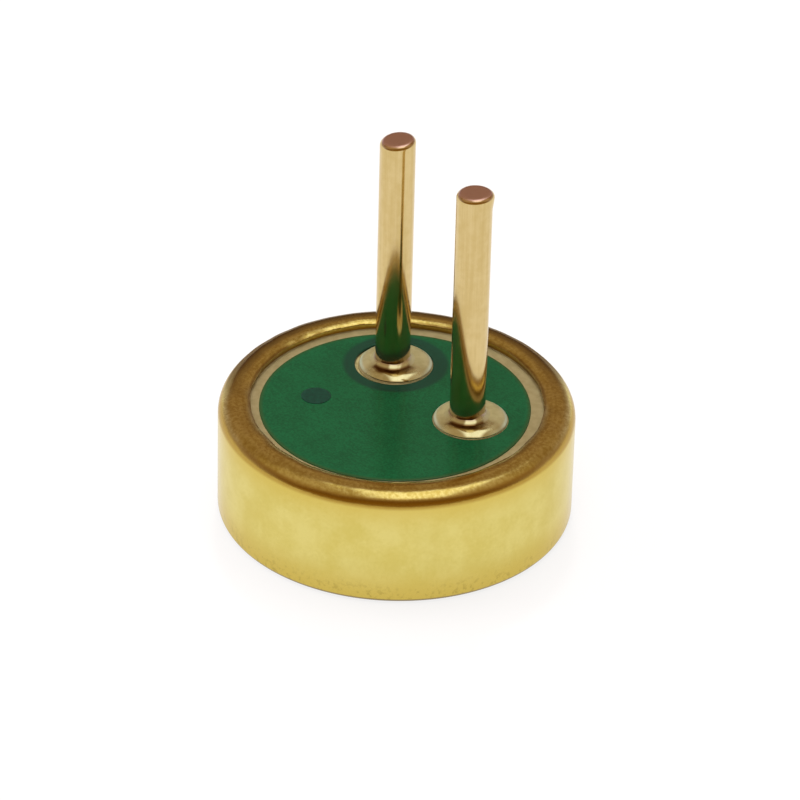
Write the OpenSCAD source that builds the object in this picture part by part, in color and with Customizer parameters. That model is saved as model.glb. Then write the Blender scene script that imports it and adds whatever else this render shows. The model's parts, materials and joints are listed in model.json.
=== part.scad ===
// Electret microphone capsule: a drawn metal case crimped over a round circuit board with two solder pins.
// The front face, with its sound holes, lies on the XY plane and the pins stand along +Z.
// The pins stand in a row along X, beside the axis of the case.

/* [Case] */
// Outside diameter of the case
case_d = 6; // [5.8:0.05:7]
// Height of the case over its crimped rim
case_h = 2.1; // [2:0.05:3]
// Thickness of the drawn wall and of the lip that is crimped from it
wall_t = 0.15; // [0.1:0.01:0.18]
// Thickness of the front wall
front_t = 0.2; // [0.12:0.01:0.25]
// Outside radius of the front corner
front_corner_r = 0.12; // [0.05:0.01:0.18]
// Inside radius of the front corner
inner_corner_r = 0.05; // [0.02:0.01:0.08]
// Inside radius of the bend where the wall turns into the lip
bend_r = 0.12; // [0.04:0.01:0.16]
// Width of the lip, from the outside of the case to its inner edge
lip_w = 0.54; // [0.47:0.01:0.6]
// Radius on the lip's inner edge
lip_edge_r = 0.14; // [0.04:0.01:0.14]

/* [Sound holes] */
// Diameter of a sound hole
sound_hole_d = 0.5; // [0.3:0.05:0.7]
// Diameter of the circle of sound holes round the middle one
sound_hole_pcd = 2.4; // [1.8:0.05:3]
// Number of sound holes in the circle
sound_hole_count = 6; // [4:1:7]

/* [Diaphragm and backplate] */
// Thickness of the dust screen
screen_t = 0.06; // [0.03:0.01:0.12]
// Height of the ring that stretches the diaphragm
ring_h = 0.25; // [0.18:0.01:0.35]
// Width of that ring
ring_w = 0.5; // [0.35:0.01:0.65]
// Thickness of the diaphragm
film_t = 0.012; // [0.006:0.001:0.03]
// Thickness of the spacer between the diaphragm and the electret
spacer_t = 0.04; // [0.02:0.005:0.08]
// How far the rim of the backplate lies on the spacer
spacer_overlap = 0.17; // [0.1:0.01:0.25]
// Thickness of the electret film
electret_t = 0.025; // [0.012:0.001:0.05]
// Thickness of the backplate
plate_t = 0.25; // [0.15:0.01:0.3]
// Diameter of a hole in the backplate
plate_hole_d = 0.6; // [0.3:0.05:0.8]
// Diameter of the circle of backplate holes
plate_hole_pcd = 2.4; // [1.6:0.05:2.8]
// Number of holes in the backplate
plate_hole_count = 4; // [3:1:6]

/* [Holder and gate ring] */
// Wall of the insulating holder beside the backplate
holder_wall_t = 0.37; // [0.3:0.01:0.45]
// Thickness of the flange in the holder that keeps the backplate down
flange_t = 0.25; // [0.12:0.01:0.35]
// Outside diameter of the gate ring
gate_ring_d = 4.3; // [4.1:0.05:4.5]
// Wall of the gate ring
gate_ring_w = 0.2; // [0.12:0.01:0.25]

/* [Circuit board] */
// Thickness of the laminate
board_t = 0.45; // [0.3:0.01:0.5]
// How far off centre, along -Y, the crimp has left the board
board_shift = 0.04; // [0:0.01:0.08]
// Thickness of the copper on both faces
copper_t = 0.03; // [0.02:0.005:0.05]
// Distance from the edge of the laminate to the outer copper
copper_pullback = 0.03; // [0.01:0.01:0.06]
// Thickness of the solder mask over the copper
mask_t = 0.02; // [0.01:0.005:0.04]
// Width of the bare gold border between the lip and the mask
border_w = 0.18; // [0.12:0.01:0.35]
// Gap between the signal pad and the edge of its mask opening
pad_gap = 0.03; // [0.02:0.005:0.06]
// Width of the copper-free ring round the signal pad
clearance_w = 0.28; // [0.15:0.01:0.32]
// Diameter of the index mark
mark_d = 0.5; // [0.3:0.05:0.6]
// Thickness of the index mark's ink
mark_t = 0.01; // [0.005:0.001:0.02]
// Place of the index mark from the middle of the board, along X
mark_x = -0.99; // [-1.2:0.01:-0.7]
// Place of the index mark from the middle of the board, along Y
mark_y = -0.92; // [-1.2:0.01:-0.6]

/* [Pins] */
// Diameter of a pin
pin_d = 0.6; // [0.45:0.01:0.65]
// Distance between the two pins
pin_pitch = 2.1; // [2.05:0.01:2.3]
// Distance of the row of pins from the middle of the board
pin_row_y = 0.79; // [0.6:0.01:0.85]
// Length of a pin above the copper of the board
pin_l = 4.42; // [2:0.01:6]
// Radius on the sheared end of a pin
pin_end_r = 0.09; // [0.02:0.01:0.15]
// Diameter of the domed head at the foot of a pin
head_d = 1.2; // [1.16:0.02:1.24]
// Height of that head
head_t = 0.12; // [0.08:0.01:0.14]
// Radius of the dome from the head's flat top to its edge
dome_r = 0.2; // [0.14:0.01:0.24]
// Radius of the fillet between the head and the wire
head_fillet_r = 0.06; // [0.03:0.01:0.12]
// How far the wire stands off the middle of its cold-formed head, along X
wire_off_x = -0.04; // [-0.04:0.01:0.04]
// How far the wire stands off the middle of its cold-formed head, along Y
wire_off_y = -0.04; // [-0.04:0.01:0.04]
// Width of the pad's border round the head
pad_border = 0.035; // [0.03:0.005:0.08]
// Thickness of the solder under the head
solder_t = 0.02; // [0.01:0.005:0.04]
// How far the solder reaches past the head
solder_reach = 0.02; // [0.005:0.005:0.025]

/* [Chips] */
// Length of the transistor's body
transistor_l = 1.2; // [1:0.05:1.3]
// Width of the transistor's body
transistor_w = 0.8; // [0.6:0.05:0.85]
// Height of the transistor over the copper
transistor_h = 0.42; // [0.35:0.01:0.45]
// Place of the transistor from the middle of the board, along Y
transistor_y = -0.45; // [-0.6:0.01:-0.4]
// Distance between the transistor's two leads on one side
lead_pitch = 0.8; // [0.75:0.01:0.9]
// Width of a transistor lead
lead_w = 0.22; // [0.15:0.01:0.28]
// Length of a transistor lead outside the body
lead_l = 0.2; // [0.12:0.01:0.24]
// Thickness of a transistor lead
lead_t = 0.1; // [0.06:0.01:0.14]
// Length of a chip capacitor
chip_l = 1; // [0.9:0.05:1.1]
// Width and height of a chip capacitor
chip_w = 0.45; // [0.35:0.01:0.48]
// Length of the metal end of a capacitor
chip_end_l = 0.25; // [0.15:0.01:0.3]
// Place of the first capacitor from the middle of the board, along Y
chip_y = 0.62; // [0.58:0.01:0.68]
// Distance between the two capacitors
chip_pitch = 0.66; // [0.58:0.01:0.72]
// Length of a solder fillet at a lead or a capacitor end
fillet_l = 0.1; // [0.05:0.01:0.12]

/* [Copper tracks] */
// Width of the strip from a via to its track
strip_w = 0.3; // [0.2:0.01:0.4]
// Margin of a copper track round what is soldered to it
track_margin = 0.05; // [0.02:0.01:0.08]
// Diameter of a via through the board
via_d = 0.26; // [0.2:0.01:0.3]
// Wall of the copper barrel in a via
via_wall = 0.04; // [0.02:0.01:0.08]
// Width of the copper land round a via
via_land_w = 0.35; // [0.25:0.01:0.4]

/* [Hidden] */
$fn = 96;
// Running clearance between pieces that slide into each other
fit_gap = 0.03;
// How far a cutter runs past the face that it cuts
over = 0.05;
// How much thinner the ceramic of a capacitor is than its metal ends, on each side
chip_step = 0.01;
// Clearance under the body of the transistor
standoff = 0.02;
// Share of the transistor's height at which its sides begin to slope
slope_start = 0.4;
// Size of the transistor's top compared with its foot
slope_scale = 0.92;

case_r = case_d / 2;
bore_r = case_r - wall_t;
lip_r = case_r - lip_w;
seat_z = case_h - wall_t;
lip_round_r = min(lip_edge_r, wall_t);

ring_r = bore_r - inner_corner_r - fit_gap;
ring_bore_r = ring_r - ring_w;
film_z = front_t + ring_h;
spacer_z = film_z + film_t;
electret_z = spacer_z + spacer_t;
plate_z = electret_z + electret_t;
plate_top_z = plate_z + plate_t;

holder_r = bore_r - fit_gap;
holder_bore_r = holder_r - holder_wall_t;
plate_r = holder_bore_r - fit_gap;
spacer_bore_r = plate_r - spacer_overlap;
flange_z = plate_top_z + fit_gap;
gate_ring_r = gate_ring_d / 2;
gate_ring_bore_r = gate_ring_r - gate_ring_w;

board_r = bore_r - bend_r - board_shift - fit_gap;
board_top_z = seat_z - copper_t;
board_z = board_top_z - board_t;
track_z = board_z - copper_t;
plane_r = board_r - copper_pullback;
mask_r = lip_r - border_w;
mask_top_z = seat_z + mask_t;

pin_r = pin_d / 2;
pin_z = seat_z + solder_t;
pin_top_z = seat_z + pin_l;
head_r = head_d / 2;
pad_r = head_r + pad_border;
head_top_z = pin_z + head_t;
head_flat_r = head_r - sqrt(head_t * (2 * dome_r - head_t));
wire_fillet_r = min(head_fillet_r, head_flat_r - pin_r - norm([wire_off_x, wire_off_y]));

side_lead_y = transistor_y + transistor_w / 2;
gate_lead_y = transistor_y - transistor_w / 2;
lead_x = lead_pitch / 2;
land_r = via_d / 2 + via_land_w;
track_outer_x = chip_l / 2 + fillet_l + track_margin;
track_inner_x = chip_l / 2 - chip_end_l - track_margin;
track_low_y = side_lead_y - track_margin;
track_high_y = chip_y + chip_pitch + chip_w / 2 + track_margin;

gold = "#d9bf66";
pale_gold = "#c4b07c";
brass = "#c9a94e";
solder = "#bdb9a8";

// What lies outside a rounded edge whose corner is at the origin, with the material to the left and above
module edge_waste(edge_r) {
    difference() {
        translate([-edge_r, -over]) square(edge_r + over);
        translate([-edge_r, edge_r]) circle(edge_r);
    }
}

// Half-section of a disc from one height to another, with a radius on its lower and its upper edge
module disc_section(r, low_z, high_z, low_edge_r, high_edge_r) {
    difference() {
        translate([0, low_z]) square([r, high_z - low_z]);
        if (low_edge_r > 0) translate([r, low_z]) edge_waste(low_edge_r);
        if (high_edge_r > 0) translate([r, high_z]) mirror([0, 1]) edge_waste(high_edge_r);
    }
}

module disc(r, low_z, high_z) {
    translate([0, 0, low_z]) cylinder(r = r, h = high_z - low_z);
}

module tube(r, hole_r, low_z, high_z) {
    difference() {
        disc(r, low_z, high_z);
        disc(hole_r, low_z - over, high_z + over);
    }
}

module on_circle(count, pcd) {
    for (i = [0 : count - 1]) rotate(i * 360 / count) translate([pcd / 2, 0, 0]) children();
}

module on_board() {
    translate([0, -board_shift, 0]) children();
}

// The signal pin stands at side -1 and the ground pin at side 1
module at_pin(side) {
    on_board() translate([side * pin_pitch / 2, pin_row_y, 0]) children();
}

// Chips hang from the inner copper: their own Z runs from it towards the front of the capsule
module on_tracks() {
    on_board() translate([0, 0, track_z]) mirror([0, 0, 1]) children();
}

module case_section() {
    difference() {
        disc_section(case_r, 0, case_h, front_corner_r, bend_r + wall_t);
        disc_section(bore_r, front_t, seat_z, inner_corner_r, bend_r);
        translate([0, seat_z - over]) square([lip_r, wall_t + 2 * over]);
        translate([lip_r, case_h]) rotate(180) edge_waste(lip_round_r);
    }
}

module case() {
    color(gold) difference() {
        rotate_extrude() case_section();
        disc(sound_hole_d / 2, -over, front_t + over);
        on_circle(sound_hole_count, sound_hole_pcd) disc(sound_hole_d / 2, -over, front_t + over);
    }
}

module dust_screen() {
    color("#2b2b2d") disc(ring_bore_r - fit_gap, front_t, front_t + screen_t);
}

module diaphragm_ring() {
    color(brass) tube(ring_r, ring_bore_r, front_t, film_z);
}

module diaphragm() {
    color("#d8d2bd") disc(ring_r, film_z, spacer_z);
}

module spacer_ring() {
    color("#e7e3d2") tube(ring_r, spacer_bore_r, spacer_z, electret_z);
}

module perforated_plate(low_z, high_z) {
    difference() {
        disc(plate_r, low_z, high_z);
        on_circle(plate_hole_count, plate_hole_pcd) disc(plate_hole_d / 2, low_z - over, high_z + over);
    }
}

module electret_film() {
    color("#cfd6d8") perforated_plate(electret_z, plate_z);
}

module backplate() {
    color(brass) perforated_plate(plate_z, plate_top_z);
}

// The backplate sits in the lower bore, and the gate ring passes through the flange above it
module holder() {
    color("#26262a") difference() {
        tube(holder_r, gate_ring_r + fit_gap, electret_z, board_z);
        disc(holder_bore_r, electret_z - over, flange_z);
        disc(holder_bore_r, flange_z + flange_t, board_z + over);
    }
}

module gate_ring() {
    color(brass) tube(gate_ring_r, gate_ring_bore_r, plate_top_z, track_z);
}

module board() {
    color("#b9a668") difference() {
        on_board() disc(board_r, board_z, board_top_z);
        for (side = [-1, 1]) at_pin(side) disc(via_d / 2, board_z - over, board_top_z + over);
    }
}

module ground_plane() {
    color(pale_gold) difference() {
        on_board() disc(plane_r, board_top_z, seat_z);
        at_pin(-1) disc(pad_r + clearance_w, board_top_z - over, seat_z + over);
    }
}

module signal_pad() {
    color(pale_gold) at_pin(-1) disc(pad_r, board_top_z, seat_z);
}

// The mask covers the ground plane and fills the copper-free ring down to the laminate
module solder_mask() {
    color("#236b3c") difference() {
        union() {
            on_board() disc(mask_r, seat_z, mask_top_z);
            at_pin(-1) disc(pad_r + clearance_w, board_top_z, mask_top_z);
        }
        at_pin(-1) disc(pad_r + pad_gap, board_top_z - over, mask_top_z + over);
        at_pin(1) disc(pad_r, seat_z - over, mask_top_z + over);
    }
}

module index_mark() {
    color("#1c4a34") on_board() translate([mark_x, mark_y, 0])
        disc(mark_d / 2, mask_top_z, mask_top_z + mark_t);
}

// Contact ring for the gate ring, with a tab to the transistor's gate lead
module gate_track() {
    tab_w = lead_w + 2 * track_margin;
    tab_y = gate_lead_y - lead_l / 2;
    color(pale_gold) on_tracks() mirror([0, 0, 1]) linear_extrude(copper_t) {
        difference() {
            circle(gate_ring_r);
            circle(gate_ring_bore_r - track_margin);
        }
        translate([-tab_w / 2, -gate_ring_bore_r]) square([tab_w, tab_y + gate_ring_bore_r]);
    }
}

// A bar under one end of both capacitors and one lead, with a strip to the land round its via
module side_track(side) {
    color(pale_gold) on_tracks() mirror([0, 0, 1]) linear_extrude(copper_t) mirror([side < 0 ? 1 : 0, 0]) {
        translate([track_inner_x, track_low_y])
            square([track_outer_x - track_inner_x, track_high_y - track_low_y]);
        translate([track_inner_x, pin_row_y - strip_w / 2])
            square([pin_pitch / 2 - track_inner_x, strip_w]);
        translate([pin_pitch / 2, pin_row_y]) circle(land_r);
    }
}

module drain_track() {
    side_track(-1);
}

module source_track() {
    side_track(1);
}

module via(side) {
    color("#b87a4b") at_pin(side) tube(via_d / 2, via_d / 2 - via_wall, board_z, board_top_z);
}

module signal_via() {
    via(-1);
}

module ground_via() {
    via(1);
}

module transistor_body() {
    low_h = transistor_h * slope_start;
    color("#1f1f21") on_tracks() translate([0, transistor_y, standoff]) {
        linear_extrude(low_h) square([transistor_l, transistor_w], center = true);
        translate([0, 0, low_h]) linear_extrude(transistor_h - low_h - standoff, scale = slope_scale)
            square([transistor_l, transistor_w], center = true);
    }
}

// Places its children at the foot of each lead, with +Y pointing away from the body
module at_leads() {
    for (x = [-lead_x, lead_x]) translate([x, side_lead_y, 0]) children();
    translate([0, gate_lead_y, 0]) rotate(180) children();
}

// Places its children at the outer face of each capacitor end, with +Y pointing away from the chip
module at_chip_ends() {
    for (i = [0, 1], side = [-1, 1])
        translate([side * chip_l / 2, chip_y + i * chip_pitch, 0]) rotate(-90 * side) children();
}

module transistor_leads() {
    color(solder) on_tracks() at_leads() translate([-lead_w / 2, 0, 0]) cube([lead_w, lead_l, lead_t]);
}

module capacitor_bodies() {
    ceramic_l = chip_l - 2 * chip_end_l;
    ceramic_w = chip_w - 2 * chip_step;
    color("#a58a5f") on_tracks() for (i = [0, 1])
        translate([-ceramic_l / 2, chip_y + i * chip_pitch - ceramic_w / 2, chip_step])
            cube([ceramic_l, ceramic_w, ceramic_w]);
}

module capacitor_ends() {
    color(solder) on_tracks() at_chip_ends() translate([-chip_w / 2, -chip_end_l, 0])
        cube([chip_w, chip_end_l, chip_w]);
}

// A wedge of solder that stands on the copper against a face of the given width
module solder_wedge(w, h) {
    rotate([90, 0, 90]) translate([0, 0, -w / 2]) linear_extrude(w)
        polygon([[0, 0], [fillet_l, 0], [0, h]]);
}

module chip_solder() {
    color(solder) on_tracks() {
        at_leads() translate([0, lead_l, 0]) solder_wedge(lead_w, lead_t);
        at_chip_ends() solder_wedge(chip_w, chip_w / 2);
    }
}

module solder_bed(side) {
    color(solder) at_pin(side) disc(head_r + solder_reach, seat_z, pin_z);
}

module signal_solder() {
    solder_bed(-1);
}

module ground_solder() {
    solder_bed(1);
}

// Half-section of a pin's head, with a flat top and a domed edge
module head_section() {
    intersection() {
        translate([0, pin_z]) square([head_r, head_t]);
        union() {
            translate([0, pin_z]) square([head_flat_r, head_t]);
            translate([head_flat_r, head_top_z - dome_r]) circle(dome_r);
        }
    }
}

// Half-section of a pin's wire, with the fillet that joins it to the head
module wire_section() {
    disc_section(pin_r, pin_z, pin_top_z, 0, pin_end_r);
    difference() {
        translate([0, head_top_z]) square([pin_r + wire_fillet_r, wire_fillet_r]);
        translate([pin_r, head_top_z] + wire_fillet_r * [1, 1]) circle(wire_fillet_r);
    }
}

module pin(side) {
    color(gold) at_pin(side) {
        rotate_extrude() head_section();
        translate([wire_off_x, wire_off_y, 0]) rotate_extrude() wire_section();
    }
}

module signal_pin() {
    pin(-1);
}

module ground_pin() {
    pin(1);
}

case();
dust_screen();
diaphragm_ring();
diaphragm();
spacer_ring();
electret_film();
backplate();
holder();
gate_ring();
board();
ground_plane();
signal_pad();
solder_mask();
index_mark();
gate_track();
drain_track();
source_track();
signal_via();
ground_via();
transistor_body();
transistor_leads();
capacitor_bodies();
capacitor_ends();
chip_solder();
signal_solder();
ground_solder();
signal_pin();
ground_pin();
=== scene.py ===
import json
import bmesh
import bpy
import numpy as np
from mathutils import Matrix, Vector


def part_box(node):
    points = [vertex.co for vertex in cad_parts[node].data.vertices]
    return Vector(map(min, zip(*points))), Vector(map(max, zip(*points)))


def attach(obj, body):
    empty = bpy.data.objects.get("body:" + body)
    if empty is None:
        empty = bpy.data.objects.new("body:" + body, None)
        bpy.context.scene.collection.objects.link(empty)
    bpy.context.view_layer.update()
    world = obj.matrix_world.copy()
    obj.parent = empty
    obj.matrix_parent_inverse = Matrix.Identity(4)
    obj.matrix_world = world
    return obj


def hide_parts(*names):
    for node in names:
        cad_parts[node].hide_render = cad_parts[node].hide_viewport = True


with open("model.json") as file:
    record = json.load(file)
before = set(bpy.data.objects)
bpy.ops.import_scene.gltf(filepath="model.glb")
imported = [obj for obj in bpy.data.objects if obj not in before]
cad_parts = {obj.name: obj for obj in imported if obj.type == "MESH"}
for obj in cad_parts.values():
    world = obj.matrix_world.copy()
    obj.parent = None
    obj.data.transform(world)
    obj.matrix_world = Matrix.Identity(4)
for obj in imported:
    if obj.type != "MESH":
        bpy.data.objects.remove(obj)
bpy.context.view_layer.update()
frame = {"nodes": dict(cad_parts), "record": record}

mm = 0.001
mounts = {mount["name"]: mount for mount in frame["record"]["mounts"]}
caseRadius = mounts["case_barrel"]["dims"]["r_mm"]
pinRadius = mounts["signal_terminal"]["dims"]["r_mm"]
boxes = {node: np.array(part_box(node)) / mm for node in frame["nodes"]}     # lowest and highest corner in mm
maskBox = boxes["solder_mask"]
maskRadius = (maskBox[1] - maskBox[0])[0] / 2
boardMiddle = (maskBox[0] + maskBox[1])[:2] / 2        # the board sits a little off centre
sides = ("signal", "ground")
wirePlaces = {side: np.array(mounts[side + "_terminal"]["pos_m"][:2]) / mm for side in sides}
padPlaces = {side: boxes[side + "_solder"].mean(0)[:2] for side in sides}
padRadius = (boxes["signal_pad"][1] - boxes["signal_pad"][0])[0] / 2
bareWidth = 0.28                                       # ring round the signal pad without copper
turns, smallTurns = 360, 180                           # steps round large and round small pieces


# Mesh tools: all lengths are in mm and become metres when the mesh is made

def compass(angle):
    # points on a circle of radius 1: the cosine and the sine of each angle
    return np.stack((np.cos(angle), np.sin(angle)), axis=-1)


def degreesFrom(angle, bearing):
    # turn from a bearing in degrees to each angle in radians, between -180 and 180 degrees
    return np.degrees(np.angle(np.exp(1j * (angle - np.radians(bearing)))))


def straight(start, end, count):
    # points at even steps from start to end, both included
    share = np.linspace(0, 1, count + 1)[:, None]
    return np.array(start) * (1 - share) + np.array(end) * share


def arc(centre, radius, fromDegrees, toDegrees, count):
    # centre plus radius times cosine and sine of an angle that runs at even steps
    angle = np.radians(np.linspace(fromDegrees, toDegrees, count + 1))
    return np.array(centre) + radius * compass(angle)


def outline(*stretches):
    # stretches joined end to end, each without its first point when that repeats the last one
    kept = [stretches[0]]
    for stretch in stretches[1:]:
        repeats = np.allclose(stretch[0], kept[-1][-1], atol=1e-9)
        kept.append(stretch[1:] if repeats else stretch)
    return np.vstack(kept)


def raysFrom(middle, edge):
    # directions of length 1 from a middle to each point of an edge
    away = edge - middle
    return away / np.linalg.norm(away, axis=1, keepdims=True)


def atHeight(flat, height):
    # loops of flat points get a height, one for all loops or one for each
    level = np.broadcast_to(np.reshape(height, (-1, 1, 1)), flat.shape[:2] + (1,))
    return np.concatenate((flat, level), axis=-1)


def revolve(profile, middle, steps):
    # each profile point (radius, height) goes round its middle: x = radius cos, y = radius sin, z = height
    angle = np.arange(steps) * 2 * np.pi / steps
    flat = profile[:, None, :1] * compass(angle)[None] + np.broadcast_to(middle, profile.shape)[:, None, :]
    return atHeight(flat, profile[:, 1]), angle


def wander(angle, seed, lowest, highest):
    # smooth closed unevenness round a turn: cosines of whole-number frequencies with seeded sizes and phases
    draw = np.random.default_rng(seed)
    count = np.arange(lowest, highest + 1)
    size = draw.normal(size=count.size) / np.sqrt(count.size)
    phase = draw.uniform(0, 2 * np.pi, count.size)
    return (size * np.cos(np.multiply.outer(angle, count) + phase)).sum(-1)


def smooth(low, high, value):
    # 0 below low, 1 above high, and 3t^2 - 2t^3 between them
    share = np.clip((value - low) / (high - low), 0, 1)
    return share * share * (3 - 2 * share)


def loopFaces(rows, columns, first):
    # quads between neighbouring closed loops of a grid, numbered row by row
    row, column = np.meshgrid(np.arange(rows - 1), np.arange(columns), indexing="ij")
    corner = first + row * columns + column
    beside = first + row * columns + (column + 1) % columns
    return np.stack((corner, beside, beside + columns, corner + columns), axis=-1).reshape(-1, 4)


def addPiece(name, grids, node, material, sharpDegrees=40, tags=None):
    # grids of closed loops become one welded mesh with its faces outwards; tags are values per vertex
    points, faces, first = [], [], 0
    for grid in grids:
        points.append(grid.reshape(-1, 3))
        faces.append(loopFaces(grid.shape[0], grid.shape[1], first))
        first += grid.shape[0] * grid.shape[1]
    mesh = bpy.data.meshes.new(name)
    mesh.from_pydata((np.vstack(points) * mm).tolist(), [], np.vstack(faces).tolist())
    for tag, values in (tags or {}).items():
        layer = mesh.attributes.new(tag, "FLOAT", "POINT")
        layer.data.foreach_set("value", values.ravel().astype(np.float32))
    welded = bmesh.new()
    welded.from_mesh(mesh)
    bmesh.ops.remove_doubles(welded, verts=welded.verts, dist=1e-8)
    bmesh.ops.recalc_face_normals(welded, faces=welded.faces)
    welded.to_mesh(mesh)
    welded.free()
    mesh.shade_smooth()
    mesh.set_sharp_from_angle(angle=np.radians(sharpDegrees))
    mesh.materials.append(material)
    piece = bpy.data.objects.new(name, mesh)
    bpy.context.scene.collection.objects.link(piece)
    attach(piece, "root")
    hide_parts(node)


# Shader tools

class Wire:
    # an output socket of a node tree; sums on it add Math nodes
    def __init__(self, tree, socket=None):
        self.tree = tree
        self.socket = socket

    def node(self, kind, settings=None, inputs=None, output=0):
        made = self.tree.nodes.new(kind)
        for setting, value in (settings or {}).items():
            if setting == "stops":
                ramp = made.color_ramp.elements
                for index, (place, colour) in enumerate(value):
                    stop = ramp[index] if index < 2 else ramp.new(place)     # a new ramp has two stops
                    stop.position = place
                    stop.color = (*colour, 1)
            else:
                setattr(made, setting, value)
        for key, value in (inputs or {}).items():
            if isinstance(value, Wire):
                self.tree.links.new(value.socket, made.inputs[key])
            else:
                made.inputs[key].default_value = value
        return Wire(self.tree, made.outputs[output] if len(made.outputs) else None)

    def maths(self, operation, *values):
        return self.node("ShaderNodeMath", {"operation": operation}, dict(enumerate(values)))

    def __add__(self, other):
        return self.maths("ADD", self, other)

    def __radd__(self, other):
        return self.maths("ADD", other, self)

    def __sub__(self, other):
        return self.maths("SUBTRACT", self, other)

    def __rsub__(self, other):
        return self.maths("SUBTRACT", other, self)

    def __mul__(self, other):
        return self.maths("MULTIPLY", self, other)

    def __rmul__(self, other):
        return self.maths("MULTIPLY", other, self)

    def __truediv__(self, other):
        return self.maths("DIVIDE", self, other)

    def __rtruediv__(self, other):
        return self.maths("DIVIDE", other, self)

    def atMost(self, limit):
        return self.maths("MINIMUM", self, limit)

    def step(self, low, high):
        # 0 at low, 1 at high, smooth between them
        inputs = {"Value": self, "From Min": low, "From Max": high}
        return self.node("ShaderNodeMapRange", {"interpolation_type": "SMOOTHSTEP"}, inputs)

    def band(self, low, high, soft):
        # 1 between low and high, with soft flanks
        return self.step(low - soft, low + soft) * (1 - self.step(high - soft, high + soft))

    def mix(self, first, second):
        # this value mixes two colours, which are sockets 6 and 7 of the node
        inputs = {0: self, 6: rgba(first), 7: rgba(second)}
        return self.node("ShaderNodeMix", {"data_type": "RGBA"}, inputs, 2)

    def tint(self, deep, bright, low=0.3, high=0.7):
        # a deep colour where this noise is low and a bright one where it is high
        return self.step(low, high).mix(deep, bright)

    def dot(self, vector):
        return self.node("ShaderNodeVectorMath", {"operation": "DOT_PRODUCT"}, {0: self, 1: vector}, "Value")

    def part(self, axis):
        return self.node("ShaderNodeSeparateXYZ", None, {0: self}, axis)

    def tag(self, name):
        return self.node("ShaderNodeAttribute", {"attribute_name": name}, None, "Fac")

    def squeezed(self, scale):
        return self.node("ShaderNodeMapping", None, {"Vector": self, "Scale": scale})

    def grain(self, size, detail):
        # noise whose lumps measure about size mm
        inputs = {"Vector": self, "Scale": 1 / (size * mm), "Detail": detail, "Roughness": 0.55}
        return self.node("ShaderNodeTexNoise", {"noise_dimensions": "3D"}, inputs)

    def bump(self, depth, strength):
        # a normal from heights of 0 to 1, depth in mm
        inputs = {"Height": self, "Distance": depth * mm, "Strength": strength}
        return self.node("ShaderNodeBump", None, inputs)


def rgba(colour):
    return colour if isinstance(colour, Wire) else (*colour, 1)


def emptyTree(owner):
    # the node tree of a material or a world, cleared, as the start of its wires
    owner.use_nodes = True
    owner.node_tree.nodes.clear()
    return Wire(owner.node_tree)


def makeMaterial(name, recipe):
    # recipe takes the object coordinates and returns the inputs of the surface shader
    material = bpy.data.materials.new(name)
    start = emptyTree(material)
    place = start.node("ShaderNodeTexCoord", output="Object")
    inputs = {key: rgba(value) if key == "Base Color" else value for key, value in recipe(place).items()}
    surface = start.node("ShaderNodeBsdfPrincipled", None, inputs)
    start.node("ShaderNodeOutputMaterial", None, {"Surface": surface})
    return material


def distanceFrom(place, middle):
    # distance in mm from an upright axis through middle
    across = place.node("ShaderNodeVectorMath", {"operation": "SUBTRACT"}, {0: place, 1: (*(middle * mm), 0)})
    flat = across.squeezed((1, 1, 0))
    return flat.node("ShaderNodeVectorMath", {"operation": "LENGTH"}, {0: flat}, "Value") / mm


def towards(place, bearing):
    # share of the case's radius in the direction of a bearing, -1 to 1
    return place.dot((*compass(np.radians(bearing)), 0)) / (caseRadius * mm)


# Gold of the drawn case: drawing lines on the wall, scuffs and dents on the crimped rim, dirt, and painted
# shade on the wall's ends, below the rim, at its sole, on the far side of the rim and along the lip's edge

caseFinish = {
    # painted shade: the warm colour darkens the wall's ends, near the floor and under the rim
    "gold": (0.7, 0.6, 0.195), "deep": (0.63, 0.52, 0.132), "warm": (0.63, 0.475, 0.1),
    "rimGold": (0.76, 0.67, 0.225), "rimDeep": (0.57, 0.45, 0.1), "graze": (0.96, 0.93, 0.86),
    "contrast": (0.36, 0.64), "rough": 0.15, "blotchRough": 0.1, "rimRough": 0.04, "bump": (0.005, 0.6),
    # sizes of the marks in mm, and what is left of their frequency along the lines and the scuffs
    "blotch": 0.7, "line": 0.14, "fine": 0.06, "scuff": 0.06, "dent": 0.16,
    "lineStretch": 0.1, "scuffStretch": 0.12,
    # radii and heights in mm where one finish passes into the next, and how soft a band's edges are
    "crimp": (1.82, 1.95), "faceEdge": (2.84, 2.92), "faceLevel": (0.1, 0.3), "cleanBand": (0.42, 1.72, 0.38),
    # painted shade: a dark band on the outer bend below the rim, blotchy in strength
    "tarnish": (0.46, 0.3, 0.055), "tarnishBand": (1.86, 2.005, 0.035), "tarnishLeast": 0.75,
    # painted shadow: the sole colour darkens the wall's lowest edge where it meets the floor
    "tarnishBlotches": 0.5, "sole": (0.22, 0.165, 0.085), "soleLevel": (0.05, 0.1),
    "dirt": (0.4, 0.3, 0.06), "dirtLevel": (0.08, 0.5), "dirtSpot": 0.09, "dirtContrast": (0.5, 0.62),
    "dirtShare": 0.6,
    # the far side of the rim, about a bearing in degrees: three bands of painted shade, each further out and
    # darker, the last also dull, standing for a dark surround mirrored in the metal
    "farBearing": 148, "farReach": (0.0, 0.5), "farLevel": (1.97, 2.03),
    "veil": (0.44, 0.36, 0.105), "veilEdge": (2.56, 2.72),
    "smoke": (0.25, 0.168, 0.048), "smokeEdge": (2.69, 2.79),
    "soot": (0.13, 0.083, 0.028), "sootEdge": (2.78, 2.88), "sootDull": 0.7, "sootRough": 0.5,
    # painted shade along the lip's edge, standing for the shadow of its undercut, left out about one bearing
    "crease": (0.3, 0.2, 0.045), "creaseEdge": (2.48, 2.52), "creaseLeast": 0.3, "creaseDents": 0.9,
    "rubbedBearing": 167, "rubbedReach": (0.72, 0.8),
}


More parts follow.
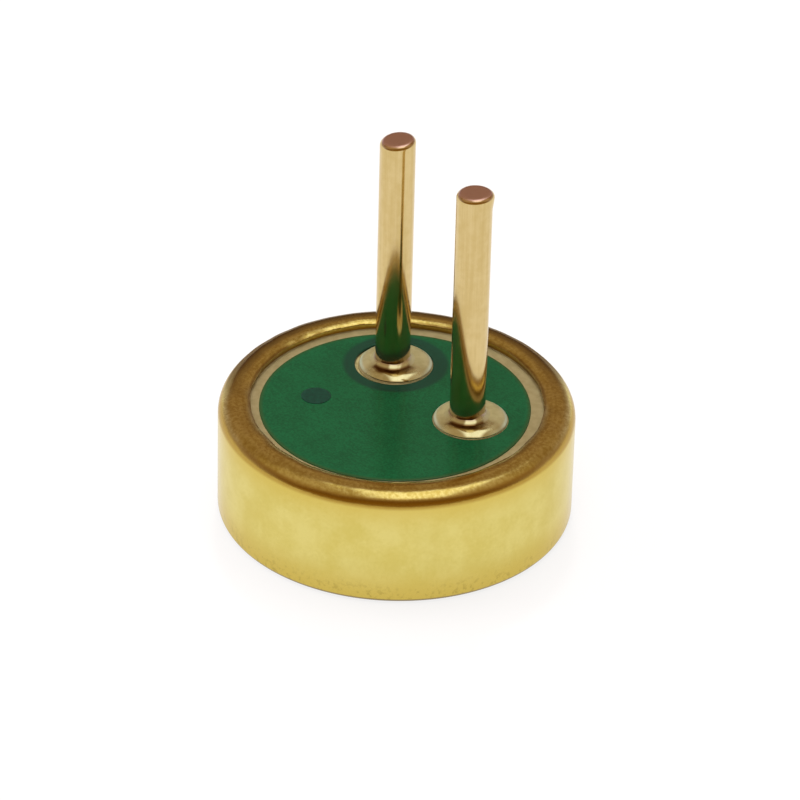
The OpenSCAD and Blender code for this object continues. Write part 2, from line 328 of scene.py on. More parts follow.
def caseRecipe(place):
    finish = caseFinish
    height = place.part("Z") / mm
    fromAxis = distanceFrom(place, np.zeros(2))
    blotches = place.grain(finish["blotch"], 4)
    fine = place.grain(finish["fine"], 3)
    dents = place.grain(finish["dent"], 3)
    drawn = place.squeezed((1, 1, finish["lineStretch"])).grain(finish["line"], 3)
    # scuffs are short across the rim and long round it
    alongX, alongY = [place.part(axis) * finish["scuffStretch"] for axis in "XY"]
    hoop = place.node("ShaderNodeCombineXYZ", None, {0: alongX, 1: alongY, 2: (fromAxis + height) * mm})
    scuffs = hoop.grain(finish["scuff"], 3)
    # plating of the wall, the rim and the front face, from shares of these marks
    onRim = height.step(*finish["crimp"])
    upright = blotches * 0.7 + drawn * 0.1 + fine * 0.2
    wall = upright.tint(finish["deep"], finish["gold"], *finish["contrast"])
    rim = (fine * 0.6 + scuffs * 0.4).tint(finish["rimDeep"], finish["rimGold"], *finish["contrast"])
    turned = blotches * 0.4 + scuffs * 0.4 + fine * 0.2
    face = turned.tint(finish["deep"], finish["gold"], *finish["contrast"])
    offFace = 1 - (1 - fromAxis.step(*finish["faceEdge"])) * (1 - height.step(*finish["faceLevel"]))
    plating = offFace.mix(face, onRim.mix(wall, rim))
    # painted shade: the wall is darker and warmer at its ends; dirt lies low on it, a band of painted shade
    # runs below the rim, and the sole is darkened as a painted contact shadow
    endShadeMask = (1 - height.band(*finish["cleanBand"])) * (1 - onRim) * offFace
    spots = (place.grain(finish["dirtSpot"], 3) * 0.6 + blotches * 0.4).step(*finish["dirtContrast"])
    dirt = spots * ((1 - height.step(*finish["dirtLevel"])) * offFace)
    clean = (finish["dirtShare"] * dirt).mix(endShadeMask.mix(plating, finish["warm"]), finish["dirt"])
    # painted shade: a blotchy dark band on the bend below the rim
    patchy = finish["tarnishLeast"] + finish["tarnishBlotches"] * blotches
    bendShadeMask = (height.band(*finish["tarnishBand"]) * patchy).atMost(1.0)
    worn = bendShadeMask.mix(clean, finish["tarnish"])
    # painted shadow: the lowest edge of the wall is darkened where it meets the floor
    sole = (1 - height.step(*finish["soleLevel"])) * offFace
    # painted shade: the far side of the rim is darkened, most and dullest on its outer bend, and a painted
    # dark line runs along the lip's edge except about one bearing
    far = towards(place, finish["farBearing"]).step(*finish["farReach"]) * height.step(*finish["farLevel"])
    veil, smoke, soot = [far * fromAxis.step(*finish[edge]) for edge in ("veilEdge", "smokeEdge", "sootEdge")]
    # the painted shade along the lip's edge is left out about this bearing
    rubbed = towards(place, finish["rubbedBearing"]).step(*finish["rubbedReach"])
    crease = (1 - fromAxis.step(*finish["creaseEdge"])) * onRim * (1 - rubbed)
    farShaded = veil.mix(sole.mix(worn, finish["sole"]), finish["veil"])
    lipShadeAmount = (crease * (finish["creaseLeast"] + finish["creaseDents"] * dents)).atMost(1.0)
    farDeepShaded = smoke.mix(lipShadeAmount.mix(farShaded, finish["crease"]), finish["smoke"])
    rough = finish["rough"] + finish["blotchRough"] * blotches + finish["rimRough"] * onRim
    relief = drawn * (1 - onRim) * 0.1 + (scuffs * 0.6 + dents * 0.8) * onRim + fine * 0.25
    return {"Base Color": soot.mix(farDeepShaded, finish["soot"]), "Metallic": 1 - finish["sootDull"] * soot,
            "Specular Tint": (*finish["graze"], 1), "Roughness": rough + finish["sootRough"] * soot,
            "Normal": relief.bump(*finish["bump"])}


# Matt immersion gold of the border and the pads

padFinish = {"gold": (0.53, 0.48, 0.255), "deep": (0.45, 0.4, 0.2), "metal": 0.7, "mottle": 0.12,
             "grain": 0.02, "rough": 0.46, "mottleRough": 0.12, "bump": (0.002, 0.5)}


def padRecipe(place):
    mottle = place.grain(padFinish["mottle"], 4)
    return {"Base Color": mottle.tint(padFinish["deep"], padFinish["gold"]), "Metallic": padFinish["metal"],
            "Roughness": padFinish["rough"] + padFinish["mottleRough"] * mottle,
            "Normal": place.grain(padFinish["grain"], 2).bump(*padFinish["bump"])}


# Gold of the pins, drawn lengthwise, with matt heads, painted shade in front of the foot, a pale brim painted
# as a highlight, stained feet and bare copper on the ends

pinFinish = {"gold": (0.66, 0.51, 0.24), "deep": (0.59, 0.44, 0.18), "contrast": (0.35, 0.65),
             "head": (0.65, 0.63, 0.33), "headDeep": (0.55, 0.53, 0.26), "headMetal": 0.7,
             # two of these colours are painted light: a dark shade in front of the foot and a pale highlight
             # on the head's brim
             "copper": (0.78, 0.55, 0.44), "stain": (0.46, 0.36, 0.24), "burnt": (0.15, 0.07, 0.012),
             "worn": (0.7, 0.82, 0.58), "line": 0.07, "lineStretch": 0.04, "mottle": 0.16, "shear": 0.03,
             "shearStretch": 0.15, "rough": 0.1, "mottleRough": 0.06, "tipRough": 0.2, "headRough": 0.32,
             "bump": (0.002, 0.5)}


def pinRecipe(place):
    finish = pinFinish
    tip, head, matt = place.tag("tip"), place.tag("head"), place.tag("matt")
    stain, burnt, worn = place.tag("stain"), place.tag("burnt"), place.tag("worn")
    drawn = place.squeezed((1, 1, finish["lineStretch"])).grain(finish["line"], 3)
    mottle = place.grain(finish["mottle"], 3)
    sheared = place.squeezed((1, finish["shearStretch"], 1)).grain(finish["shear"], 2)
    clean = (drawn * 0.6 + mottle * 0.4).tint(finish["deep"], finish["gold"], *finish["contrast"])
    gold = stain.mix(clean, finish["stain"])
    plain = mottle.tint(finish["headDeep"], finish["head"])
    # painted shade in front of the foot and a painted highlight on the brim go over the head's colour
    pale = burnt.mix(worn.mix(plain, finish["worn"]), finish["burnt"])
    rough = finish["rough"] + finish["mottleRough"] * mottle + finish["tipRough"] * tip
    relief = drawn * (1 - tip) * (1 - head) * 0.35 + sheared * tip + mottle * 0.2
    return {"Base Color": tip.mix(head.mix(gold, pale), finish["copper"]),
            "Metallic": 1 - (1 - finish["headMetal"]) * matt, "Roughness": rough + finish["headRough"] * matt,
            "Normal": relief.bump(*finish["bump"])}


# Green solder mask, darker over the ring without copper, and the ink printed on it

maskFinish = {"green": (0.0039, 0.091, 0.0325), "dark": (0.0025, 0.06, 0.022), "bare": (0.005, 0.042, 0.024),
              "brim": (0.022, 0.066, 0.02), "brimWidth": 0.09, "bareInside": 0.07, "bareOutside": 0.03,
              "contrast": (0.38, 0.62), "cloud": 0.5, "speck": 0.03, "thread": 0.035, "threadStretch": 0.4,
              "rough": 0.13, "cloudRough": 0.1, "sheen": 0.26, "bump": (0.002, 0.3)}
inkFinish = {"dark": (0.003, 0.03, 0.02), "pale": (0.005, 0.048, 0.03), "blot": 0.06, "rough": 0.25,
             "blotRough": 0.15, "bump": (0.002, 0.4)}


def maskRecipe(place):
    finish = maskFinish
    bareEdge = padRadius + bareWidth
    fromPad = distanceFrom(place, padPlaces["signal"])
    bare = 1 - fromPad.step(bareEdge - finish["bareInside"], bareEdge + finish["bareOutside"])
    thin = distanceFrom(place, boardMiddle).step(maskRadius - finish["brimWidth"], maskRadius)
    cloud = place.grain(finish["cloud"], 4)
    speck = place.grain(finish["speck"], 2)
    # threads of the laminate show through, half of them along each axis
    warp = place.squeezed((1, finish["threadStretch"], 1)).grain(finish["thread"], 2)
    weft = place.squeezed((finish["threadStretch"], 1, 1)).grain(finish["thread"], 2)
    weave = warp * 0.5 + weft * 0.5
    marks = cloud * 0.2 + speck * 0.4 + weave * 0.4
    green = marks.tint(finish["dark"], finish["green"], *finish["contrast"])
    return {"Base Color": thin.mix(bare.mix(green, finish["bare"]), finish["brim"]),
            "Specular IOR Level": finish["sheen"],
            "Roughness": finish["rough"] + finish["cloudRough"] * cloud,
            "Normal": (speck * 0.3 + weave * 0.7).bump(*finish["bump"])}


def inkRecipe(place):
    finish = inkFinish
    blot = place.grain(finish["blot"], 3)
    return {"Base Color": blot.tint(finish["dark"], finish["pale"]),
            "Specular IOR Level": maskFinish["sheen"],
            "Roughness": finish["rough"] + finish["blotRough"] * blot,
            "Normal": blot.bump(*finish["bump"])}


# Finishes of the solids inside the case

insideFinish = {"metalMottle": 0.2, "metalGrain": 0.04, "metalRough": 0.12, "metalBump": (0.002, 0.4),
                "plainRough": 0.15, "plainBump": (0.003, 0.4)}
clothFinish = {"pitch": 0.09, "dark": (0.008, 0.008, 0.009), "pale": (0.04, 0.04, 0.043),
               "contrast": (0.2, 0.8), "rough": 0.8, "threadRough": 0.1, "bump": (0.02, 0.8)}


def metalRecipe(deep, bright, rough):
    # plain stamped or plated metal with a faint mottle
    def recipe(place):
        mottle = place.grain(insideFinish["metalMottle"], 4)
        return {"Base Color": mottle.tint(deep, bright), "Metallic": 1.0,
                "Roughness": rough + insideFinish["metalRough"] * mottle,
                "Normal": place.grain(insideFinish["metalGrain"], 2).bump(*insideFinish["metalBump"])}
    return recipe


def plainRecipe(deep, bright, rough, size):
    # dull or glossy insulator with a grain of the given size
    def recipe(place):
        mottle = place.grain(size, 4)
        return {"Base Color": mottle.tint(deep, bright),
                "Roughness": rough + insideFinish["plainRough"] * mottle,
                "Normal": mottle.bump(*insideFinish["plainBump"])}
    return recipe


def clothRecipe(place):
    # crossed sine ridges of the woven threads
    across, along = [place.part(axis) * (2 * np.pi / (clothFinish["pitch"] * mm)) for axis in "XY"]
    threads = 0.5 + 0.25 * across.maths("SINE", across) + 0.25 * along.maths("SINE", along)
    return {"Base Color": threads.tint(clothFinish["dark"], clothFinish["pale"], *clothFinish["contrast"]),
            "Roughness": clothFinish["rough"] - clothFinish["threadRough"] * threads,
            "Normal": threads.bump(*clothFinish["bump"])}


caseGold = makeMaterial("caseGold", caseRecipe)
pinGold = makeMaterial("pinGold", pinRecipe)
padGold = makeMaterial("padGold", padRecipe)
maskGreen = makeMaterial("maskGreen", maskRecipe)
markInk = makeMaterial("markInk", inkRecipe)
print("materials ready")


# Case: one drawn shell, its front pierced by sound holes and its open end crimped into a lip

caseSizes = {"wall": 0.15, "front": 0.2, "frontCorner": 0.12, "innerCorner": 0.05, "bend": 0.12, "lip": 0.54,
             "outerBend": 0.28, "crown": 4.6, "edgeWide": 0.18, "edgeTilt": 30, "edgeCorner": 0.02,
             "undercut": 0.02, "hole": 0.25, "holeCircle": 1.2, "holeCount": 6, "holeEdge": 0.03,
             "field": 1.7, "core": 0.6,
             # unevenness of the crimp: how much, its seed and its waves round a turn
             "crimpWave": 0.003, "crimpSeed": 3, "crimpWaves": (9, 40),
             "lipWave": 0.008, "lipSeed": 5, "lipWaves": (5, 28),
             # where it fades: below the top, by the lip's edge, above the seat, and in widths of the edge
             "flatBelow": 0.02, "edgeClear": 0.01, "seatClear": 0.01, "edgeBelow": 0.08, "fadeWidths": 1.5}


def holeCell(edge, middle, size):
    # loops from the cell's edge on the outer face, over the hole's rounded rim, up its wall and back inside
    hole, soft, thick = size["hole"], size["holeEdge"], size["front"]
    bend = np.radians(np.linspace(0, 90, 5))
    width = np.concatenate((hole + soft * (1 - np.sin(bend)), [hole, hole]))
    level = np.concatenate((soft * (1 - np.cos(bend)), [thick / 2, thick]))
    throat = atHeight(middle + width[:, None, None] * raysFrom(middle, edge), level)

    def spread(share, ring, height):
        # loops on a flat face between the cell's edge and a ring of the throat
        flat = edge * (1 - share[:, None, None]) + ring[:, :2] * share[:, None, None]
        return atHeight(flat, height)

    outside = spread(np.linspace(0, 1, 6)[:-1], throat[0], 0.0)
    inside = spread(np.linspace(1, 0, 6)[1:], throat[-1], thick)
    return np.concatenate((outside, throat, inside))


def caseGrids(size):
    # the wall's profile goes round the axis, and cells with a hole each close the front
    top, radius = boxes["case"][1][2], caseRadius
    bore, outerBend = radius - size["wall"], size["outerBend"]
    lipRadius, seat = radius - size["lip"], top - size["wall"]
    corner, inner, wide, soft = size["frontCorner"], size["innerCorner"], size["edgeWide"], size["edgeCorner"]
    # the lip falls away outwards by the crown angle, and rolls over inwards as far as the edge's tilt
    crown, tilt = np.radians((size["crown"], size["edgeTilt"]))
    bendStart = radius - outerBend * (1 - np.sin(crown))
    bendTop = top - (bendStart - lipRadius - wide) * np.tan(crown)
    bendMiddle = bendTop - outerBend * np.cos(crown)
    roll = (wide - soft * (1 - np.sin(tilt))) / np.sin(tilt)
    rollEnd = top - roll * (1 - np.cos(tilt))
    lipFoot = rollEnd - soft * np.cos(tilt)
    profile = outline(
        straight((size["field"], 0), (radius - corner, 0), 6),
        arc((radius - corner, corner), corner, -90, 0, 10),
        straight((radius, corner), (radius, bendMiddle), 8),
        arc((radius - outerBend, bendMiddle), outerBend, 0, 90 - size["crown"], 18),
        straight((bendStart, bendTop), (lipRadius + wide, top), 4),
        arc((lipRadius + wide, top - roll), roll, 90, 90 + size["edgeTilt"], 10),
        arc((lipRadius + soft, lipFoot), soft, 90 + size["edgeTilt"], 180, 5),
        straight((lipRadius, lipFoot), (lipRadius + size["undercut"], seat), 3),
        straight((lipRadius + size["undercut"], seat), (bore - size["bend"], seat), 3),
        arc((bore - size["bend"], seat - size["bend"]), size["bend"], 90, 0, 4),
        straight((bore, seat - size["bend"]), (bore, size["front"] + inner), 3),
        arc((bore - inner, size["front"] + inner), inner, 0, -90, 4),
        straight((bore - inner, size["front"]), (size["field"], size["front"]), 4))
    shell, angle = revolve(profile, (0, 0), turns)
    # the crimp leaves the lip a little wavy: its flat wanders up and down, and its inner edge in and out
    onLip = smooth(top - outerBend, top - size["flatBelow"], profile[:, 1])
    onLip *= profile[:, 0] > lipRadius + size["edgeClear"]
    atEdge = smooth(seat + size["seatClear"], top - size["edgeBelow"], profile[:, 1])
    atEdge *= 1 - smooth(lipRadius + size["undercut"], lipRadius + size["fadeWidths"] * wide, profile[:, 0])
    crimp = 1 + wander(angle, size["crimpSeed"], *size["crimpWaves"])
    shell[..., 2] -= size["crimpWave"] * onLip[:, None] * crimp[None]
    inOut = wander(angle, size["lipSeed"], *size["lipWaves"])
    swell = 1 + size["lipWave"] / lipRadius * atEdge[:, None] * inOut[None]
    shell[..., :2] *= swell[..., None]
    # the front is a round cell with the middle hole and a ring of cells with one hole each
    grids = [shell, holeCell(size["core"] * compass(angle), np.zeros(2), size)]
    step = turns // size["holeCount"]
    for index in range(size["holeCount"]):
        degrees = np.arange(-step // 2, step // 2 + 1) * 360 / turns + index * 360 / size["holeCount"]
        ray = compass(np.radians(degrees))
        near, far = size["core"] * ray, size["field"] * ray
        cell = outline(straight(near[0], far[0], 12), far, straight(far[-1], near[-1], 12), near[::-1])[:-1]
        grids.append(holeCell(cell, size["holeCircle"] * ray[step // 2], size))
    return grids


addPiece("caseShell", caseGrids(caseSizes), "case", caseGold, 35)
print("case done")


# Solder mask: a lacquer disc with an opening round each pad, dipping where there is no copper under it

maskSizes = {"edge": 0.02, "lip": 0.012, "lipBend": 0.3, "collect": 0.94, "dip": 0.007, "padGap": 0.03,
             "foot": 0.1, "openShift": (-0.018, -0.023)}


def maskCell(edge, middle, opening, skirt, size):
    # loops from half the disc's edge to a circle round the pad, over the opening's lip, and back underneath
    top, low, deep = maskBox[1][2], boxes["ground_plane"][1][2], maskBox[0][2]
    lip, bend = size["lip"], size["lipBend"]
    ray = raysFrom(middle, edge)
    share = np.linspace(0, 1, 9)[:-1, None, None]
    plain = edge * (1 - share) + (middle + size["collect"] * ray) * share
    width = np.concatenate((np.linspace(size["collect"], opening + lip, 12), [opening + bend * lip, opening]))
    level = np.full(width.size, top)
    bare = np.clip((width - opening) / bareWidth, 0, 1)
    level -= skirt * size["dip"] * np.sin(np.pi * bare) ** 2
    level[-2:] -= (bend * lip, lip)
    under = ((opening, low), (opening + size["foot"], low))
    if skirt:
        under = ((opening, deep), (opening + bareWidth, deep), (opening + bareWidth, low))
    width, level = np.vstack((np.column_stack((width, level)), under)).T
    rings = atHeight(middle + width[:, None, None] * ray, level)
    back = rings[-1, :, :2] * share[::-1] + edge * (1 - share[::-1])
    return np.concatenate((atHeight(plain, top), rings, atHeight(back, low)))


def maskGrids(size):
    # a rounded strip round the edge, and two halves of the disc with one opening each
    top, low = maskBox[1][2], boxes["ground_plane"][1][2]
    reach = maskRadius - size["edge"]
    right = reach * compass(np.radians(np.arange(turns // 2 + 1) * 360 / turns - 90))
    middleLine = straight((0, reach), (0, -reach), 60)
    left = (right * (-1, 1))[::-1]
    rightEdge = outline(right, middleLine)[:-1] + boardMiddle
    leftEdge = outline(left, middleLine[::-1])[:-1] + boardMiddle
    slope = compass(np.radians(np.linspace(90, 0, 6)))
    strip = np.vstack((np.array((reach, low)) + slope * (size["edge"], top - low), (reach, low)))
    return [revolve(strip, boardMiddle, turns)[0],
            maskCell(rightEdge, padPlaces["ground"], padRadius, 0, size),
            maskCell(leftEdge, padPlaces["signal"] + size["openShift"], padRadius + size["padGap"], 1, size)]


addPiece("greenMask", maskGrids(maskSizes), "solder_mask", maskGreen, 50)


# Flat round pieces: the isolated pad, the index mark and the solder under the heads of the pins

coinEdges = {"pad": 0.008, "dot": 0.006, "bed": 0.015}


def coin(node, soft):
    # a disc with its upper edge rounded by soft, as large as the node's box
    low, high = boxes[node]
    radius, middle = (high - low)[0] / 2, (low + high)[:2] / 2
    profile = outline(straight((0, low[2]), (radius, low[2]), 2),
                      straight((radius, low[2]), (radius, high[2] - soft), 1),
                      arc((radius - soft, high[2] - soft), soft, 0, 90, 5),
                      straight((radius - soft, high[2]), (0, high[2]), 4))
    return [revolve(profile, middle, smallTurns)[0]]


addPiece("signalPadDisc", coin("signal_pad", coinEdges["pad"]), "signal_pad", padGold)
addPiece("indexDot", coin("index_mark", coinEdges["dot"]), "index_mark", markInk)
for side in sides:
    addPiece(side + "SolderBed", coin(side + "_solder", coinEdges["bed"]), side + "_solder", padGold)
print("board face done")


# Pins: a wire that stands a little off the middle of its domed head, with an uneven fillet and a sheared end

pinSizes = {"head": 0.615, "domeFrom": 0.455, "domeTilts": (6, 46), "edge": 0.008, "brim": 0.02,
            "fillet": 0.06, "filletWide": 0.08, "climbEnd": 0.6, "footWave": 0.005, "tongueWidth": 24,
            "end": 0.09, "shearFrom": 0.36, "copperFrom": 0.027, "copperFull": 0.0072,
            # spans of the marks on the head and the foot, in mm, and in degrees to each side of a bearing
            # the pale brim of the head is a painted highlight where its bevel catches light
            "mattFrom": 0.03, "mattTo": 0.072, "stainFrom": 0.09, "stainTo": 0.45, "wornBrim": (0.555, 0.6),
            # the dark patch in front of the foot, on the side toward the camera, is painted shade
            "rubbedAt": -42, "rubbedSpan": (22, 86), "raggedBy": 6, "burntAt": -37, "burntSpan": (42, 58),
            "burntInner": (0.34, 0.375), "burntOuter": (0.44, 0.5), "burntWave": 0.012,
            # what each unevenness adds to the pin's seed, and its waves round a turn
            "waves": {"foot": (0, 2, 9), "rubbed": (20, 3, 9), "burntSide": (40, 4, 14),
                      "burntRim": (50, 3, 12)}}
pinForms = {
    "signal": {"seed": 11, "tilt": 0.11, "towards": 53, "drop": 0.025, "burr": 0.0, "tongue": 0.04,
               "tongueAt": 20},
    "ground": {"seed": 12, "tilt": 0.04, "towards": 53, "drop": 0.03, "burr": 0.025, "tongue": 0.045,
               "tongueAt": 16},
}


def pinGrid(side, size):
    # a head and a wire, each turned round its own middle
    low, high = boxes[side + "_pin"][0][2], boxes[side + "_pin"][1][2]
    form, end, fillet = pinForms[side], size["end"], size["fillet"]
    # the head is a dome that steepens from its inner tilt to its outer one
    inner, outer = np.radians(size["domeTilts"])
    dome = (size["head"] - size["domeFrom"]) / (np.sin(outer) - np.sin(inner))
    domeMiddle = np.array((size["head"] - dome * np.sin(outer), low + size["brim"] - dome * np.cos(outer)))
    headTop = domeMiddle[1] + dome * np.cos(inner)
    head = outline(
        straight((0, low), (size["head"] - size["edge"], low), 3),
        straight((size["head"] - size["edge"], low), (size["head"], low + size["edge"]), 1),
        straight((size["head"], low + size["edge"]), (size["head"], low + size["brim"]), 1),
        arc(domeMiddle, dome, 90 - size["domeTilts"][1], 90 - size["domeTilts"][0], 16))
    wire = outline(
        straight((pinRadius + size["filletWide"], headTop), (pinRadius, headTop + fillet), 6),
        straight((pinRadius, headTop + fillet), (pinRadius, high - end), 60),
        arc((pinRadius - end, high - end), end, 0, 90, 10),
        straight((pinRadius - end, high), (0, high), 6))
    profile = np.vstack((head, wire))
    onWire = np.repeat((0.0, 1.0), (len(head), len(wire)))
    middle = padPlaces[side] * (1 - onWire[:, None]) + wirePlaces[side] * onWire[:, None]
    grid, angle = revolve(profile, middle, smallTurns)
    fromMiddle, height = profile.T

    def uneven(name):
        offset, lowest, highest = size["waves"][name]
        return wander(angle, form["seed"] + offset, lowest, highest)

    # the fillet of solder climbs the wire in waves and in one tongue
    climb = np.clip((height - headTop) / fillet, 0, 1) * onWire
    climb *= 1 - smooth(headTop + fillet, headTop + size["climbEnd"], height)
    tongue = form["tongue"] * np.exp(-(degreesFrom(angle, form["tongueAt"]) / size["tongueWidth"]) ** 2)
    grid[..., 2] += climb[:, None] * (size["footWave"] * uneven("foot") + tongue)[None]
    # the end is sheared at a slant and bulges to one side
    nearEnd = smooth(high - size["shearFrom"], high - end, height)[:, None]
    lean = np.radians(form["towards"])
    slant = fromMiddle[:, None] * np.cos(angle - lean)[None]
    grid[..., 2] += nearEnd * (form["tilt"] * slant - form["drop"])
    bulge = form["burr"] * nearEnd * np.clip(slant / pinRadius, 0, 1) ** 2
    grid[..., :2] += bulge[..., None] * compass(lean)
    tip = smooth(high - size["copperFrom"], high - size["copperFull"], height)
    # the head is matt, but rubbed bright on one side and round the foot
    onHead = 1 - smooth(headTop + size["mattFrom"], headTop + size["mattTo"], height)
    aside = np.abs(degreesFrom(angle, size["rubbedAt"])) + size["raggedBy"] * uneven("rubbed")
    dull = smooth(*size["rubbedSpan"], aside)[None]
    # painted shade lies on the head in front of the foot, on the side toward the camera, standing for the
    # wire's dark reflection, and the brim of the head is painted pale as a highlight
    apart = grid[..., :2] - wirePlaces[side]
    distance = np.linalg.norm(apart, axis=-1)
    bearing = np.abs(degreesFrom(np.arctan2(apart[..., 1], apart[..., 0]), size["burntAt"]))
    ragged = bearing + size["raggedBy"] * uneven("burntSide")[None]
    burnt = smooth(*size["burntInner"], distance)
    burnt *= 1 - smooth(*size["burntOuter"], distance + size["burntWave"] * uneven("burntRim")[None])
    burnt *= 1 - smooth(*size["burntSpan"], ragged)
    worn = smooth(*size["wornBrim"], fromMiddle) * (1 - onWire)
    stain = (1 - smooth(headTop + size["stainFrom"], headTop + size["stainTo"], height)) * onWire
    return grid, {"tip": np.repeat(tip, angle.size), "head": np.repeat(onHead, angle.size),
                  "stain": np.repeat(stain, angle.size), "burnt": burnt,
                  "worn": worn[:, None] * dull, "matt": onHead[:, None] * dull}


for side in sides:
    grid, tags = pinGrid(side, pinSizes)
    addPiece(side + "PinTurned", [grid], side + "_pin", pinGold, 35, tags)
print("pins done")


# Solids that stay as they are get their finishes

laminate = makeMaterial("laminate", plainRecipe((0.3, 0.25, 0.1), (0.46, 0.4, 0.19), 0.4, 0.1))
ringBrass = makeMaterial("ringBrass", metalRecipe((0.58, 0.42, 0.15), (0.7, 0.54, 0.23), 0.22))
tinPlate = makeMaterial("tinPlate", metalRecipe((0.55, 0.52, 0.45), (0.68, 0.66, 0.6), 0.26))
barrelCopper = makeMaterial("barrelCopper", metalRecipe((0.6, 0.3, 0.18), (0.75, 0.42, 0.28), 0.25))
blackResin = makeMaterial("blackResin", plainRecipe((0.012, 0.012, 0.013), (0.024, 0.024, 0.026), 0.45, 0.05))
clearFilm = makeMaterial("clearFilm", plainRecipe((0.5, 0.48, 0.4), (0.62, 0.6, 0.52), 0.18, 0.4))
tanCeramic = makeMaterial("tanCeramic", plainRecipe((0.26, 0.17, 0.08), (0.38, 0.27, 0.15), 0.4, 0.06))
screenCloth = makeMaterial("screenCloth", clothRecipe)
nodeFinishes = {
    "ground_plane": padGold, "gate_track": padGold, "drain_track": padGold, "source_track": padGold,
    "board": laminate, "diaphragm_ring": ringBrass, "backplate": ringBrass, "gate_ring": ringBrass,
    "transistor_leads": tinPlate, "capacitor_ends": tinPlate, "chip_solder": tinPlate,
    "signal_via": barrelCopper, "ground_via": barrelCopper,
    "holder": blackResin, "transistor_body": blackResin,
    "diaphragm": clearFilm, "spacer_ring": clearFilm, "electret_film": clearFilm,
    "capacitor_bodies": tanCeramic, "dust_screen": screenCloth,
}
for node, material in nodeFinishes.items():
    frame["nodes"][node].data.materials.clear()
    frame["nodes"][node].data.materials.append(material)
print("solids finished")


# Camera at the photograph's angle: degrees, mm from the aim, and a lens for a sensor 36 mm wide

photoView = {"azimuth": 52.77, "elevation": 32.68, "roll": 1.48, "distance": 82.28, "lens": 221.1,
             "sensor": 36, "aimRight": 0.0494, "aimHeight": 2.064}
turnAngle, tiltAngle, rollAngle = np.radians([photoView[key] for key in ("azimuth", "elevation", "roll")])
toRight = np.array((np.cos(turnAngle), np.sin(turnAngle), 0))
toFront = np.array((np.sin(turnAngle), -np.cos(turnAngle), 0))
toCamera = np.cos(tiltAngle) * toFront + np.sin(tiltAngle) * np.array((0, 0, 1))
toTop = np.cross(toCamera, toRight)
cameraRight = np.cos(rollAngle) * toRight + np.sin(rollAngle) * toTop
cameraTop = np.cross(toCamera, cameraRight)
aim = photoView["aimRight"] * toRight + np.array((0, 0, photoView["aimHeight"]))
cameraData = bpy.data.cameras.new("photoCamera")
cameraData.lens = photoView["lens"]
cameraData.sensor_width = photoView["sensor"]
cameraData.clip_start = 0.001
cameraData.clip_end = 5
camera = bpy.data.objects.new("photoCamera", cameraData)
bpy.context.scene.collection.objects.link(camera)
axes = np.column_stack((cameraRight, cameraTop, toCamera, (aim + photoView["distance"] * toCamera) * mm))
camera.matrix_world = Matrix(np.vstack((axes, (0, 0, 0, 1))).tolist())
bpy.context.scene.camera = camera


# Floor: a white disc seen from above only; it glows for the camera and the metal and keeps the shadow

floorSizes = {"radius": 160.0, "level": -0.002, "steps": 96, "paper": (0.9, 0.9, 0.9), "glowShare": 0.8}


def floorMaterial():
    material = bpy.data.materials.new("whitePaper")
    start = emptyTree(material)
    kinds = ("Is Camera Ray", "Is Glossy Ray", "Is Transmission Ray")
    rays = [start.node("ShaderNodeLightPath", None, None, kind) for kind in kinds]
    seen = (rays[0] + rays[1] + rays[2]).atMost(1.0)
    under = start.node("ShaderNodeNewGeometry", None, None, "Backfacing")
    paper = start.node("ShaderNodeBsdfDiffuse", None, {"Color": rgba(floorSizes["paper"])})
    glow = start.node("ShaderNodeEmission", None, {"Color": (1, 1, 1, 1), "Strength": 1.0})
    bright = start.node("ShaderNodeMixShader", None, {0: floorSizes["glowShare"] * seen, 1: paper, 2: glow})
    clear = start.node("ShaderNodeBsdfTransparent")
    surface = start.node("ShaderNodeMixShader", None, {0: under, 1: bright, 2: clear})
    start.node("ShaderNodeOutputMaterial", None, {"Surface": surface})
    return material


floorMesh = bpy.data.meshes.new("floor")
floorEdge = np.array(((floorSizes["radius"], floorSizes["level"]),))
floorRing = revolve(floorEdge, (0, 0), floorSizes["steps"])[0].reshape(-1, 3) * mm
floorMesh.from_pydata(floorRing.tolist(), [], [list(range(len(floorRing)))])
floorMesh.materials.append(floorMaterial())
floor = bpy.data.objects.new("floor", floorMesh)
bpy.context.scene.collection.objects.link(floor)


# Light: a studio tent that shines in the metal, and broad lamps that light the dull surfaces

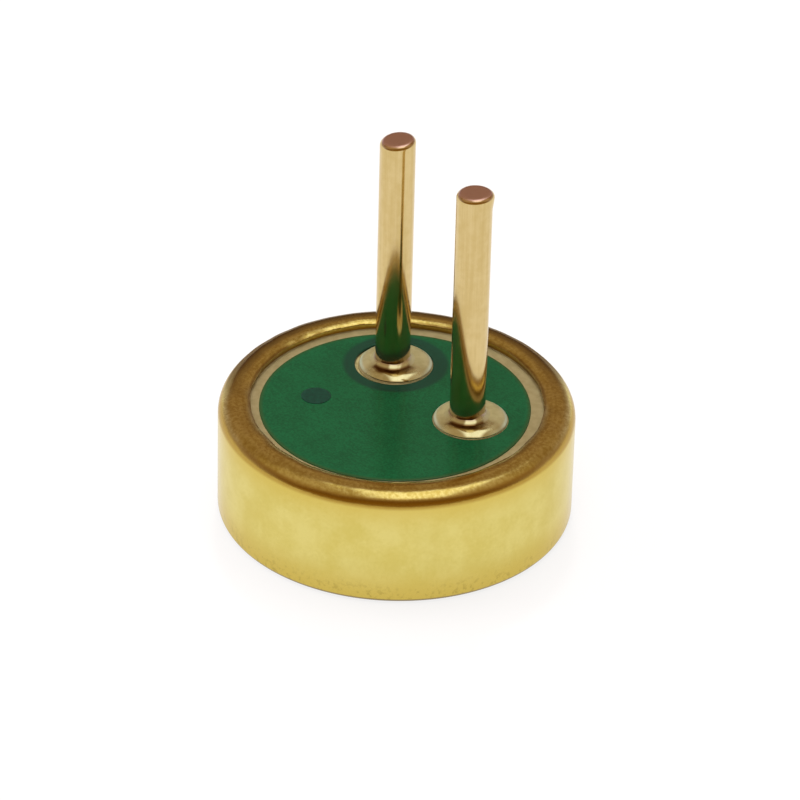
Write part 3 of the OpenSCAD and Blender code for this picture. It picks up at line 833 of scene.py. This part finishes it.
tent = {
    # colours of the sky by degrees from the front horizon over the top to the back one
    "sky": ((0, (0.36, 0.19, 0.022)), (28, (0.33, 0.17, 0.02)), (42, (0.2, 0.09, 0.012)),
            (65, (0.2, 0.09, 0.012)), (120, (0.26, 0.14, 0.06)), (137, (0.37, 0.235, 0.15)),
            (147, (0.33, 0.195, 0.13)), (160, (0.2, 0.115, 0.07)), (180, (0.13, 0.07, 0.04))),
    # a soft box and its halo, in degrees over the top and to the right: from, to, and how soft the edge is
    "box": (1.5, 1.38, 1.42), "boxOver": (62, 115, 5), "boxAside": (-9, 23, 5),
    "halo": (0.56, 0.4, 0.27), "haloOver": (48, 112, 14), "haloAside": (-65, 70, 20), "haloShare": 0.85,
    # haze low at the sides and behind, and white below the horizon, as parts of a direction of length 1
    "haze": (0.66, 0.56, 0.72), "hazeAside": (0.1, 0.5), "hazeFront": (-0.2, 0.5), "hazeUp": (0.0, 0.55),
    "horizon": (0.02, 0.1),
}


def studioWorld():
    world = bpy.data.worlds.new("studioTent")
    bpy.context.scene.world = world
    start = emptyTree(world)
    way = start.node("ShaderNodeTexCoord", output="Generated")
    front, side, up = way.dot(tuple(toFront)), way.dot(tuple(toRight)), way.part("Z")
    over = up.maths("ARCTAN2", up, front) * (180 / np.pi)     # 0 at the front horizon, 90 overhead
    aside = side.maths("ARCSINE", side) * (180 / np.pi)       # to the right of the view
    stops = [(degrees / 180, colour) for degrees, colour in tent["sky"]]
    sky = start.node("ShaderNodeValToRGB", {"stops": stops}, {"Fac": over / 180})
    box = over.band(*tent["boxOver"]) * aside.band(*tent["boxAside"])
    halo = over.band(*tent["haloOver"]) * aside.band(*tent["haloAside"])
    lit = box.mix((tent["haloShare"] * halo).mix(sky, tent["halo"]), tent["box"])
    beside = side.maths("ABSOLUTE", side).step(*tent["hazeAside"]) * (1 - front.step(*tent["hazeFront"]))
    hazy = (beside * (1 - up.step(*tent["hazeUp"]))).mix(lit, tent["haze"])
    shown = up.step(*tent["horizon"]).mix((1, 1, 1), hazy)
    glow = start.node("ShaderNodeBackground", None, {"Color": shown, "Strength": 1.0})
    start.node("ShaderNodeOutputWorld", None, {"Surface": glow})


studioWorld()
lamps = {
    "topLamp": {"place": (-30, 20, 150), "size": 120, "power": 0.112},
    "backLamp": {"place": (-56, 42, 110), "size": 16, "power": 0.04},
    "frontLamp": {"place": (90, -90, 90), "size": 100, "power": 0.08},
    "leftLamp": {"place": (-90, -70, 80), "size": 100, "power": 0.06},
}
for name, lamp in lamps.items():
    data = bpy.data.lights.new(name, "AREA")
    data.shape = "DISK"
    data.size = lamp["size"] * mm
    data.energy = lamp["power"]
    made = bpy.data.objects.new(name, data)
    made.location = Vector(lamp["place"]) * mm
    made.rotation_euler = (-made.location).to_track_quat("-Z", "Y").to_euler()
    made.visible_glossy = False
    bpy.context.scene.collection.objects.link(made)

bpy.context.scene.view_settings.view_transform = "Standard"

print("scene ready")
